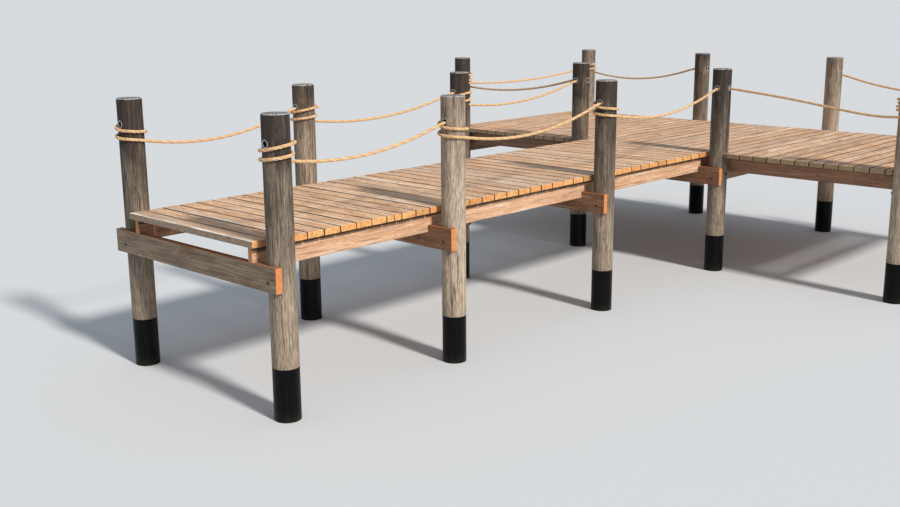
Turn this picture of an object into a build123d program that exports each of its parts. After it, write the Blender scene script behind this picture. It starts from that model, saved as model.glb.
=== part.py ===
# Wooden jetty on round piles: a walkway of three bays meets a cross deck of three bays.
# Millimetres. X runs along the walkway from its free end, Y runs across it to the left,
# Z is up, and z = 0 is the water level, where the piles are cut off.
import os
from math import atan2, cos, degrees, pi, radians, sin, tan

from build123d import *

# Piles. Each pair of the walkway shares one x, each pair of the cross deck shares one y.
PILE_DIAMETER = 220
PILE_TOP = 2435
PILE_CHAMFER = 8
WALK_X = [0, 1950, 4260, 6600]
WALK_WIDTH = 2060
CROSS_NEAR_X = WALK_X[-1]
CROSS_FAR_X = 9640
CROSS_LEFT_Y = 4165
CROSS_RIGHT_Y = -2215
PILE_RADIUS = PILE_DIAMETER / 2

# The black sleeve that guards each pile at the water line.
SLEEVE_TOP = 440
SLEEVE_WALL = 6
SLEEVE_GAP = 1
SHADOW_GAP = 3

# Deck levels and timber sizes, from the top down.
DECK_TOP = 1445
BOARD_THICKNESS = 55
STRINGER_DEPTH = 184
STRINGER_WIDTH = 50
CAP_DEPTH = 205
CAP_WIDTH = 62
CAP_LET_IN = 35
CAP_END = 100
CAP_FAR_END = 146
STRINGER_SEAT = 64
SEAT_GAP = 1.5
PILE_GAP = 3
DECK_OVERHANG = 50
FRONT_OVERHANG = 40
STRINGER_INSET = 17
WALK_STRINGER_INSET = 75
BAY_GAP = 6
CROSS_LIP = 75
END_BOARD = 152
END_BOARD_SETBACK = 50

DECK_BOTTOM = DECK_TOP - BOARD_THICKNESS
STRINGER_BOTTOM = DECK_BOTTOM - STRINGER_DEPTH
CAP_TOP = STRINGER_BOTTOM + STRINGER_SEAT
CAP_BOTTOM = CAP_TOP - CAP_DEPTH
CAP_BACK = PILE_RADIUS - CAP_LET_IN
CAP_FRONT = CAP_BACK + CAP_WIDTH

# Rope, the bores it runs through and the metal eyes that line their mouths.
ROPE = 30
BORE = 60
EYE_BORE = 50
EYE_FLANGE = 70
EYE_FLANGE_THICK = 9
EYE_STAND_OUT = -3
EYE_DEPTH = 45
HOLE_BELOW_TOP = 225
HOLE_HEIGHT = PILE_TOP - HOLE_BELOW_TOP
LOW_HOLE_DROP = 57
HIGH_HOLE_RISE = 38
EVEN_DROPS = [0, 19, 42, 57, 76, 95, 114, 133]
LOOSE_DROPS = [0, 8, 46, 64, 78, 94, 118, 134]
WRAP_GAP = 0.2
WRAP_STEPS = 12
ROPE_START = 35
ROPE_SAG = 79
LONG_ROPE_SAG = 55
SIDE_ROPE_SAG = 20
TAUT_ROPE_DIP = 510


def box_between(x0, x1, y0, y1, z0, z1):
    """A plain box from its two corners."""
    block = Box(x1 - x0, y1 - y0, z1 - z0)
    return Pos((x0 + x1) / 2, (y0 + y1) / 2, (z0 + z1) / 2) * block


def upright(radius, z0, z1):
    """A vertical cylinder on the origin's axis."""
    return Pos(0, 0, (z0 + z1) / 2) * Cylinder(radius, z1 - z0)


def lying(radius, length, heading, z):
    """A level cylinder through the pile's axis, pointing to a heading in degrees."""
    return Pos(0, 0, z) * Rot(0, 0, heading) * Rot(0, 90, 0) * Cylinder(radius, length)


# Each pile: name, x, y, the sides its caps lie on (front is -X, left is +Y, right is -Y),
# and the height of its bore along X and along Y.
low_hole = HOLE_HEIGHT - LOW_HOLE_DROP
piles = {}
for index, x in enumerate(WALK_X):
    last = index == len(WALK_X) - 1
    side_hole = HOLE_HEIGHT if last else None
    sides = "front left" if last else "front"
    piles[f"near_{index}"] = dict(x=x, y=0, caps=sides, bores={0: HOLE_HEIGHT, 90: side_hole})
    piles[f"far_{index}"] = dict(x=x, y=WALK_WIDTH, caps=sides, bores={0: HOLE_HEIGHT, 90: side_hole})
piles["left_front"] = dict(x=CROSS_NEAR_X, y=CROSS_LEFT_Y, caps="left", bores={0: HOLE_HEIGHT, 90: low_hole})
piles["left_back"] = dict(x=CROSS_FAR_X, y=CROSS_LEFT_Y, caps="left", bores={0: low_hole, 90: HOLE_HEIGHT})
piles["far_back"] = dict(x=CROSS_FAR_X, y=WALK_WIDTH, caps="left", bores={0: None, 90: HOLE_HEIGHT})
piles["near_back"] = dict(x=CROSS_FAR_X, y=0, caps="left", bores={0: None, 90: HOLE_HEIGHT})
piles["right_front"] = dict(x=CROSS_NEAR_X, y=CROSS_RIGHT_Y, caps="right",
                            bores={0: HOLE_HEIGHT + HIGH_HOLE_RISE, 90: low_hole})
piles["right_back"] = dict(x=CROSS_FAR_X, y=CROSS_RIGHT_Y, caps="right", bores={0: low_hole, 90: HOLE_HEIGHT})


def eye():
    """One metal eye: a flange on the pile's face and a short liner in the bore, along +X."""
    face = PILE_RADIUS + EYE_STAND_OUT
    turn = Rot(0, 90, 0)
    flange = Pos(face - EYE_FLANGE_THICK / 2, 0, 0) * turn * Cylinder(EYE_FLANGE / 2, EYE_FLANGE_THICK)
    liner = Pos(face - EYE_DEPTH / 2, 0, 0) * turn * Cylinder(BORE / 2 - 1, EYE_DEPTH)
    hole = Pos(face - EYE_DEPTH / 2, 0, 0) * turn * Cylinder(EYE_BORE / 2, 2 * EYE_DEPTH)
    return flange + liner - hole


def make_pile(caps, bores):
    """A round pile: chamfered head, slimmer foot for the sleeve, seats for its caps, bores for rope."""
    head = upright(PILE_RADIUS, SLEEVE_TOP, PILE_TOP)
    head = chamfer(head.edges().group_by(Axis.Z)[-1], PILE_CHAMFER)
    solid = head + upright(PILE_RADIUS - SLEEVE_WALL - SLEEVE_GAP, 0, SLEEVE_TOP + 1)
    for heading, height in bores.items():
        if height is None:
            continue
        solid -= lying(BORE / 2, 3 * PILE_RADIUS, heading, height)
        sink = PILE_RADIUS + EYE_STAND_OUT - EYE_FLANGE_THICK - 0.5
        for side in (0, 180):
            seat = Rot(0, 90, 0) * Cylinder(EYE_FLANGE / 2 + 1, PILE_RADIUS)
            solid -= Pos(0, 0, height) * Rot(0, 0, heading + side) * Pos(sink + PILE_RADIUS / 2, 0, 0) * seat
    reach = 2 * PILE_RADIUS
    if "front" in caps:
        solid -= box_between(-reach, -CAP_BACK, -reach, reach, CAP_BOTTOM, CAP_TOP + SEAT_GAP)
    if "left" in caps:
        solid -= box_between(-reach, reach, CAP_BACK, reach, CAP_BOTTOM, CAP_TOP + SEAT_GAP)
    if "right" in caps:
        solid -= box_between(-reach, reach, -reach, -CAP_BACK, CAP_BOTTOM, CAP_TOP + SEAT_GAP)
    return solid


parts = {}
eyes = {"walkway": [], "cross": []}
sleeves = {"walkway": [], "cross": []}
sleeve = upright(PILE_RADIUS, 0, SLEEVE_TOP - SHADOW_GAP) - upright(PILE_RADIUS - SLEEVE_WALL, -1, SLEEVE_TOP)
one_eye = eye()
for name, pile in piles.items():
    place = Pos(pile["x"], pile["y"], 0)
    parts[f"pile_{name}"] = place * make_pile(pile["caps"], pile["bores"])
    group = "cross" if name.endswith(("front", "back")) else "walkway"
    sleeves[group].append(place * sleeve)
    for heading, height in pile["bores"].items():
        if height is not None:
            for side in (0, 180):
                eyes[group].append(place * Pos(0, 0, height) * Rot(0, 0, heading + side) * one_eye)
for group in eyes:
    parts[f"{group}_sleeves"] = Compound(children=sleeves[group])
    parts[f"{group}_eyes"] = Compound(children=eyes[group])

# Caps: one beam let into the piles of each pair, on the -X face of the walkway's pairs
# and on the +Y face of the cross deck's pairs. The last pair on the right has it on the -Y face.
walkway_caps = []
for x in WALK_X:
    walkway_caps.append(box_between(
        x - CAP_FRONT, x - CAP_BACK, -CAP_END, WALK_WIDTH + CAP_FAR_END, CAP_BOTTOM, CAP_TOP))
parts["walkway_caps"] = Compound(children=walkway_caps)
butt = CROSS_NEAR_X - CAP_BACK
cross_cap_y = {"right": (CROSS_RIGHT_Y - CAP_FRONT, CROSS_RIGHT_Y - CAP_BACK)}
for name, y in (("near", 0), ("far", WALK_WIDTH), ("left", CROSS_LEFT_Y)):
    cross_cap_y[name] = (y + CAP_BACK, y + CAP_FRONT)
cross_caps = []
for name, (y0, y1) in cross_cap_y.items():
    start = butt if name in ("far", "near") else CROSS_NEAR_X - CAP_END
    cross_caps.append(box_between(start, CROSS_FAR_X + CAP_END, y0, y1, CAP_BOTTOM, CAP_TOP))
parts["cross_caps"] = Compound(children=cross_caps)

# Stringers stand on the caps and are notched over them.
walk_front = -CAP_FRONT
walk_edge = PILE_RADIUS + PILE_GAP
walk_end = CROSS_NEAR_X - CAP_BACK
near_y = walk_edge + WALK_STRINGER_INSET
far_y = WALK_WIDTH - near_y - STRINGER_WIDTH
for name, y in (("near", near_y), ("far", far_y)):
    beam = box_between(walk_front, walk_end, y, y + STRINGER_WIDTH, STRINGER_BOTTOM, DECK_BOTTOM)
    for x in WALK_X:
        beam -= box_between(x - CAP_FRONT - SEAT_GAP, x - CAP_BACK + SEAT_GAP, y - 1, y + STRINGER_WIDTH + 1,
                            STRINGER_BOTTOM - 1, CAP_TOP)
    parts[f"walkway_stringer_{name}"] = beam

cross_left = CROSS_LEFT_Y + PILE_RADIUS + DECK_OVERHANG
cross_right = CROSS_RIGHT_Y - PILE_RADIUS - DECK_OVERHANG
front_x = CROSS_NEAR_X + walk_edge
back_x = CROSS_FAR_X - walk_edge - STRINGER_INSET - STRINGER_WIDTH
for name, x in (("front", front_x), ("back", back_x)):
    beam = box_between(x, x + STRINGER_WIDTH, cross_cap_y["right"][0], cross_cap_y["left"][1],
                       STRINGER_BOTTOM, DECK_BOTTOM)
    for y0, y1 in cross_cap_y.values():
        beam -= box_between(x - 1, x + STRINGER_WIDTH + 1, y0 - SEAT_GAP, y1 + SEAT_GAP,
                            STRINGER_BOTTOM - 1, CAP_TOP)
    parts[f"cross_stringer_{name}"] = beam

# Decks, one slab a bay. The walkway's end board is narrower and stands back on the near side.
deck_start = -PILE_RADIUS - FRONT_OVERHANG
lip_x = CROSS_NEAR_X - CROSS_LIP
bay_ends = [deck_start] + WALK_X[1:-1] + [lip_x - BAY_GAP]
for index in range(len(bay_ends) - 1):
    start = bay_ends[index] + (BAY_GAP if index else 0)
    slab = box_between(start, bay_ends[index + 1], walk_edge, WALK_WIDTH - walk_edge, DECK_BOTTOM, DECK_TOP)
    if index == 0:
        slab -= box_between(start - 1, start + END_BOARD, walk_edge - 1, walk_edge + END_BOARD_SETBACK,
                            DECK_BOTTOM - 1, DECK_TOP + 1)
    parts[f"walkway_deck_{index + 1}"] = slab

cross_back = CROSS_FAR_X - walk_edge
cross_bays = {"left": (WALK_WIDTH + BAY_GAP, cross_left), "middle": (0, WALK_WIDTH),
              "right": (cross_right, -BAY_GAP)}
for name, (y0, y1) in cross_bays.items():
    slab = box_between(lip_x, cross_back, y0, y1, DECK_BOTTOM, DECK_TOP)
    for pile in piles.values():
        if pile["x"] == CROSS_NEAR_X:
            round_cut = upright(PILE_RADIUS + PILE_GAP, DECK_BOTTOM - 1, DECK_TOP + 1)
            slab -= Pos(pile["x"], pile["y"], 0) * round_cut
    parts[f"cross_deck_{name}"] = slab


def wrap_drop(drops, angle):
    """How far a wound rope has come down after an angle in degrees; drops are per quarter turn."""
    quarter = min(int(angle // 90), len(drops) - 2)
    share = angle / 90 - quarter
    return drops[quarter] + (drops[quarter + 1] - drops[quarter]) * share


def free_span(share, rise, sag):
    """Height over its low end of a rope that hangs freely; sag is how far it dips below that end."""
    bend = rise + 2 * sag + 2 * (sag * (sag + rise)) ** 0.5
    return rise * share - bend * share * (1 - share)


def taut_span(share, rise, dip):
    """Height over its low end of a rope that runs straight down and dips just before that end."""
    return rise * share - dip * share * (1 - share) ** 4


def rope_points(start, end, turn, drops, span_height, amount):
    """Corner points of a rope that leaves a bore of the start pile, winds 1.75 turns down
    round it and runs to the bore of the end pile. turn is -1 for clockwise from above."""
    sx, sy = piles[start]["x"], piles[start]["y"]
    ex, ey = piles[end]["x"], piles[end]["y"]
    heading = round(degrees(atan2(ey - sy, ex - sx)) / 90) * 90
    bore = abs(heading) % 180
    height = piles[start]["bores"][bore]
    end_height = piles[end]["bores"][bore]
    wrap = PILE_RADIUS + ROPE / 2 + WRAP_GAP
    corner = wrap / cos(pi / WRAP_STEPS)
    step = 360 / WRAP_STEPS
    local = [(ROPE_START, -6 * turn, height), (PILE_RADIUS + 29, 12 * turn, height)]
    local.append((PILE_RADIUS + 25, 64 * turn, height - wrap_drop(drops, 25)))
    angle = 45
    while angle < 630:
        reach = corner + (5 if angle < 60 or angle > 600 else 0)
        local.append((reach * cos(radians(angle)), turn * reach * sin(radians(angle)),
                      height - wrap_drop(drops, angle)))
        angle += step
    span = ((ex - sx) ** 2 + (ey - sy) ** 2) ** 0.5
    mouth = span - PILE_RADIUS - 14
    low = height - drops[-1]
    rise = end_height - 6 - low
    side = -turn * wrap
    for share in (0.1, 0.22, 0.36, 0.5, 0.64, 0.77, 0.89, 1.0):
        local.append((share * mouth, side * (1 - share), low + span_height(share, rise, amount)))
    local.append((span - ROPE_START, 0, end_height))
    turned = [Vector(x, y, z).rotate(Axis.Z, heading) for x, y, z in local]
    return [point + Vector(sx, sy, 0) for point in turned]


def rope_path(points):
    """Straight runs joined by tangent arcs, each as round as its shorter run allows."""
    radii = []
    for before, point, after in zip(points, points[1:], points[2:]):
        run_in, run_out = point - before, after - point
        half_turn = radians(run_in.get_angle(run_out)) / 2
        radii.append(0.45 * min(run_in.length, run_out.length) / tan(half_turn))
    return FilletPolyline(*points, radius=radii), radii


ropes = {
    "rope_near_0_1": ("near_0", "near_1", -1, LOOSE_DROPS, free_span, ROPE_SAG),
    "rope_near_1_2": ("near_1", "near_2", 1, LOOSE_DROPS, free_span, ROPE_SAG),
    "rope_near_2_3": ("near_2", "near_3", 1, LOOSE_DROPS, free_span, ROPE_SAG),
    "rope_far_0_1": ("far_0", "far_1", 1, LOOSE_DROPS, free_span, ROPE_SAG),
    "rope_far_1_2": ("far_1", "far_2", -1, LOOSE_DROPS, free_span, ROPE_SAG),
    "rope_far_2_3": ("far_2", "far_3", -1, LOOSE_DROPS, free_span, ROPE_SAG),
    "rope_left_front": ("left_front", "far_3", -1, EVEN_DROPS, free_span, SIDE_ROPE_SAG),
    "rope_left_end": ("left_front", "left_back", -1, EVEN_DROPS, free_span, LONG_ROPE_SAG),
    "rope_left_back": ("left_back", "far_back", -1, EVEN_DROPS, free_span, ROPE_SAG),
    "rope_right_front": ("right_front", "near_3", -1, EVEN_DROPS, taut_span, TAUT_ROPE_DIP),
    "rope_right_end": ("right_front", "right_back", -1, EVEN_DROPS, free_span, LONG_ROPE_SAG),
    "rope_right_back": ("right_back", "near_back", 1, EVEN_DROPS, free_span, ROPE_SAG),
}
for name, facts in ropes.items():
    path, radii = rope_path(rope_points(*facts))
    section = Plane(path @ 0, z_dir=path % 0) * Circle(ROPE / 2)
    tube = sweep(section, path)
    expected = pi * (ROPE / 2) ** 2 * path.length
    print(name, "length", round(path.length), "volume ratio", round(tube.volume / expected, 4),
          "radii", [round(radius) for radius in radii])
    parts[name] = tube

# The finished jetty stands with the middle of its plan on the origin.
to_origin = Pos(-(deck_start + CROSS_FAR_X + PILE_RADIUS) / 2, -(cross_left + cross_right) / 2, 0)
os.makedirs("parts", exist_ok=True)
for name, solid in parts.items():
    solid = to_origin * solid
    solid.label = name
    export_step(solid, f"parts/{name}.step")
print(len(parts), "nodes")
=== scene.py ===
# Looks of the wooden jetty: boards, beams, ropes, bolts, timber finishes, camera and light.
# Metres, in the frame of the CAD model: its origin is the middle of the plan at water level.
from math import atan2, cos, degrees, pi, radians, sin, sqrt
from random import Random

import bmesh
import bpy
from mathutils import Matrix, Vector


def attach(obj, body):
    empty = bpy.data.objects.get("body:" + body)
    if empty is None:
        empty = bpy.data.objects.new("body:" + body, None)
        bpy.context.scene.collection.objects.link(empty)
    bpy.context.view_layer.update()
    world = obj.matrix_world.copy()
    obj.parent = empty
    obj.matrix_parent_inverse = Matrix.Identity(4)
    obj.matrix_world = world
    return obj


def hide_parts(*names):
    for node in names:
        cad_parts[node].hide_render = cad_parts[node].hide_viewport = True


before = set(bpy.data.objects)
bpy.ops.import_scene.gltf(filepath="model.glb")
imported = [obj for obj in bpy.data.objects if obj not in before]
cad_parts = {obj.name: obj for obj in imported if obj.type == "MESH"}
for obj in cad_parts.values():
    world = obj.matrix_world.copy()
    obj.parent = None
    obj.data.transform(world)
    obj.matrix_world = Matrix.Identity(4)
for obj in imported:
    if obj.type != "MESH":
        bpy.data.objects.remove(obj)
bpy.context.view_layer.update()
scene = bpy.context.scene

# Sizes shared with the CAD model. The plan's own zero is the near pile at the free end.
MIDDLE = Vector((4.800, 0.975, 0.0))
PILE_RADIUS = 0.110
WALK_X = [0.0, 1.950, 4.260, 6.600]
WALK_WIDTH = 2.060
CROSS_FAR_X = 9.640
LEFT_Y = 4.165
RIGHT_Y = -2.215
SLEEVE_TOP = 0.440
DECK_TOP = 1.445
DECK_BOTTOM = 1.390
STRINGER_BOTTOM = 1.206
STRINGER_WIDTH = 0.050
WALK_STRINGERS = {"near": 0.188, "far": 1.822}
CROSS_STRINGERS = {"front": 6.713, "back": 9.460}
CAP_TOP = 1.270
CAP_BOTTOM = 1.065
CAP_BACK = 0.075
CAP_FRONT = 0.137
CAP_END = 0.100
CAP_FAR_END = 0.146
SEAT_GAP = 0.0015
WALK_START = -0.150
WALK_END = 6.519
CROSS_START = 6.525
CROSS_END = 9.527
CROSS_LEFT = 4.325
CROSS_RIGHT = -2.375
BOARD_EDGE = 0.113
END_BOARD = 0.152
END_BOARD_SETBACK = 0.050
ROPE = 0.030
HOLE = 2.210
LOW_HOLE = 2.153
HIGH_HOLE = 2.248
WRAP_GAP = 0.0002
WRAP_STEPS = 12
ROPE_START = 0.035
ROPE_SAG = 0.079
LONG_ROPE_SAG = 0.055
SIDE_ROPE_SAG = 0.020
TAUT_ROPE_DIP = 0.510

# How far a wound rope has come down at each quarter turn, in millimetres.
EVEN_DROPS = [0, 19, 42, 57, 76, 95, 114, 133]
LOOSE_DROPS = [0, 8, 46, 64, 78, 94, 118, 134]

# Sizes of what only this scene shows: the lay of the ropes, boards, screws and bolts. LAY is
# the length in which a strand turns once, GROOVE the rope's reach in its grooves as a share of
# its radius, a play how uneven the work is, and a screw place a share of a board's width.
STRANDS = 3
ROPE_SIDES = 24
LAY = 0.112
GROOVE = 0.82
RING_STEP = 0.008
WALK_BOARDS = 37
CROSS_BOARDS = 39
ROUND_CUT_STEPS = 10
HALVED_BOARD = 7
BOARD_GAP = 0.011
HALVED_GAP = 0.006
BOARD_PLAY = 0.002
BOARD_END_PLAY = 0.006
BOARD_ARRIS = 0.004
CAP_ARRIS = 0.004
STRINGER_ARRIS = 0.003
SHARP_ANGLE = 35
SCREW_PLACES = (0.22, 0.78)
SCREW_PLAY = 0.004
SCREW_PROUD = 0.0004
SCREW_SIDES = 8
WALK_BOLT_HEIGHT = 1.140
CROSS_BOLT_HEIGHT = 1.190
BOLT_SIDES = 20
NUT_SIDES = 6

# Rings of a screw head as radius and depth, and of a bolt's parts as radius and distance from
# the pile's middle; those of its head are counted from the cap's face.
SCREW_RINGS = ((0.0025, 0.0016), (0.0050, 0.0), (0.0062, 0.003))
BOLT_HEAD_RINGS = ((0.0180, -0.001), (0.0180, 0.0012), (0.0160, 0.0030), (0.0090, 0.0046))
WASHER_RINGS = ((0.022, 0.1060), (0.022, 0.1105), (0.0205, 0.1115), (0.012, 0.1115))
NUT_RINGS = ((0.0155, 0.1110), (0.0155, 0.1200), (0.0135, 0.1220))

# The camera as fitted to the photo: its place, angles in degrees and focal length in pixels.
CAMERA_PLACE = Vector((-5.0611, -6.5756, 3.2567))
CAMERA_HEADING = 43.373
CAMERA_DOWNWARD = 13.148
CAMERA_ROLL = -0.4375
FOCAL_PIXELS = 1090.29
PHOTO_WIDTH = 900
SENSOR_WIDTH = 36.0

# The stage: how far the floor reaches and lies below the water level, the lamp with the way
# its light goes and the spread of it in degrees, and the sky.
FLOOR_REACH = 400
FLOOR_DROP = 0.001
LIGHT_TRAVEL = Vector((0.07, 0.80, -0.60))
LIGHT_SPREAD = 7
LAMP_STRENGTH = 3.8
SKY_STRENGTH = 0.52

# Every pile, by its place in the plan.
PILES = {
    "near_0": (WALK_X[0], 0.0), "near_1": (WALK_X[1], 0.0), "near_2": (WALK_X[2], 0.0),
    "near_3": (WALK_X[3], 0.0), "far_0": (WALK_X[0], WALK_WIDTH), "far_1": (WALK_X[1], WALK_WIDTH),
    "far_2": (WALK_X[2], WALK_WIDTH), "far_3": (WALK_X[3], WALK_WIDTH),
    "left_front": (WALK_X[3], LEFT_Y), "left_back": (CROSS_FAR_X, LEFT_Y),
    "far_back": (CROSS_FAR_X, WALK_WIDTH), "near_back": (CROSS_FAR_X, 0.0),
    "right_front": (WALK_X[3], RIGHT_Y), "right_back": (CROSS_FAR_X, RIGHT_Y),
}

# How bleached each pile is, from 0, dark all the way up, to about 1, pale all the way, and how
# far apart the seeds of two piles' patterns are.
BLEACH = {
    "near_0": 0.47, "near_1": 1.05, "near_2": 0.42, "near_3": 0.38, "far_0": 0.38, "far_1": 0.70,
    "far_2": 0.42, "far_3": 0.40, "left_front": 0.40, "left_back": 0.80, "far_back": 0.55,
    "near_back": 1.00, "right_front": 0.90, "right_back": 0.55,
}
SEED_STEP = 3.7

# Faces of the cross deck's four caps, as pairs of y: each cap stands on one side of its piles.
CROSS_CAPS = [(RIGHT_Y - CAP_FRONT, RIGHT_Y - CAP_BACK)]
CROSS_CAPS += [(y + CAP_BACK, y + CAP_FRONT) for y in (0.0, WALK_WIDTH, LEFT_Y)]


def linear(code):
    """The linear colour of an sRGB hex code."""
    channels = [int(code[i:i + 2], 16) / 255 for i in (0, 2, 4)]
    return [c / 12.92 if c <= 0.04045 else ((c + 0.055) / 1.055) ** 2.4 for c in channels] + [1.0]


def every(millimetres):
    """Scale of a pattern that changes once in so many millimetres, on coordinates in metres."""
    return 1000 / millimetres


def grain_scale(axis, across, along):
    """Scale of a pattern drawn out along the grain, from its two sizes in millimetres."""
    scale = [every(across)] * 3
    scale["xyz".index(axis)] = every(along)
    return scale


def add(tree, kind, inputs, **settings):
    """Adds a node with its settings. An input is found by its name or its place, and takes a
    value, a hex colour, another node or one of a node's outputs."""
    node = tree.nodes.new(kind)
    for name, value in settings.items():
        setattr(node, name, value)
    for name, value in inputs.items():
        if isinstance(name, int):
            socket = node.inputs[name]
        else:
            socket = next(s for s in node.inputs if s.name == name and s.enabled)
        if isinstance(value, bpy.types.Node):
            value = next(s for s in value.outputs if s.enabled)
        if isinstance(value, bpy.types.NodeSocket):
            tree.links.new(value, socket)
        else:
            socket.default_value = linear(value) if isinstance(value, str) else value
    return node


def new_finish(name, roughness, metallic=0.0):
    """A material, its node tree and its shader."""
    material = bpy.data.materials.new(name)
    material.use_nodes = True
    shader = material.node_tree.nodes["Principled BSDF"]
    shader.inputs["Roughness"].default_value = roughness
    shader.inputs["Metallic"].default_value = metallic
    return material, material.node_tree, shader


NOISE = "ShaderNodeTexNoise"
RANGE = "ShaderNodeMapRange"
MIX = "ShaderNodeMix"
MATH = "ShaderNodeMath"
MAPPING = "ShaderNodeMapping"
# Where a mix node for colours has its result among its outputs.
MIXED_COLOUR = 2


def layer(tree, under, over, source, low, high, at_low=0.0, at_high=1.0):
    """One colour laid over another. It covers by at_low where the source is at low or less,
    and by at_high where it is at high or more."""
    share = add(tree, RANGE, {"Value": source, "From Min": low, "From Max": high,
                              "To Min": at_low, "To Max": at_high})
    return add(tree, MIX, {"Factor": share, "A": under, "B": over}, data_type="RGBA")


# Tones of the two timbers with a look of their own; all others stay at 0.9 or less.
GREY_BEAM = 0.93
OLDEST_BOARD = 1.0
USUAL_TONES = 0.9


def oldest_board(tree, colour, tone, across, upward, patterns):
    """The colour with the look of the oldest board put over it: a bleached front arris on top
    and a dull brown face below. Other timbers keep their colour."""
    stripes, fibres, stains = patterns
    dull = layer(tree, "6c5747", "b59d86", fibres, 0.34, 0.62)
    dull = add(tree, MIX, {"Factor": upward, "A": dull, "B": colour}, data_type="RGBA")
    front = add(tree, RANGE, {"Value": across, "From Min": -0.92, "From Max": -0.35,
                              "To Min": 0.24, "To Max": 0.0})
    rubbed = add(tree, MATH, {0: front, 1: stripes}, operation="ADD")
    rubbed = add(tree, MATH, {0: stains, 1: 0.7, 2: rubbed}, operation="MULTIPLY_ADD")
    rubbed = add(tree, RANGE, {"Value": rubbed, "From Min": 0.90, "From Max": 1.12})
    rubbed = add(tree, MATH, {0: rubbed, 1: upward}, operation="MULTIPLY")
    dull = add(tree, MIX, {"Factor": rubbed, "A": dull, "B": "f3ede6"}, data_type="RGBA")
    return layer(tree, colour, dull, tone, 0.95, 0.99)


def cut_end(tree, place, seed, chances, colours):
    """End grain with uneven growth marks 24 mm wide. Some ends are redder, or old and olive."""
    fresh, red, old = colours
    chance, other_chance = chances
    colour = layer(tree, fresh, red, chance, 0.35, 0.75, 0.0, 0.6)
    colour = layer(tree, colour, old, other_chance, 0.6, 0.9, 0.0, 0.4)
    rings = add(tree, NOISE, {"Vector": place, "W": seed, "Scale": every(24), "Detail": 6.0,
                              "Roughness": 0.75}, noise_dimensions="4D")
    return layer(tree, colour, old, rings, 0.47, 0.66, 0.0, 0.85)


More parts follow.
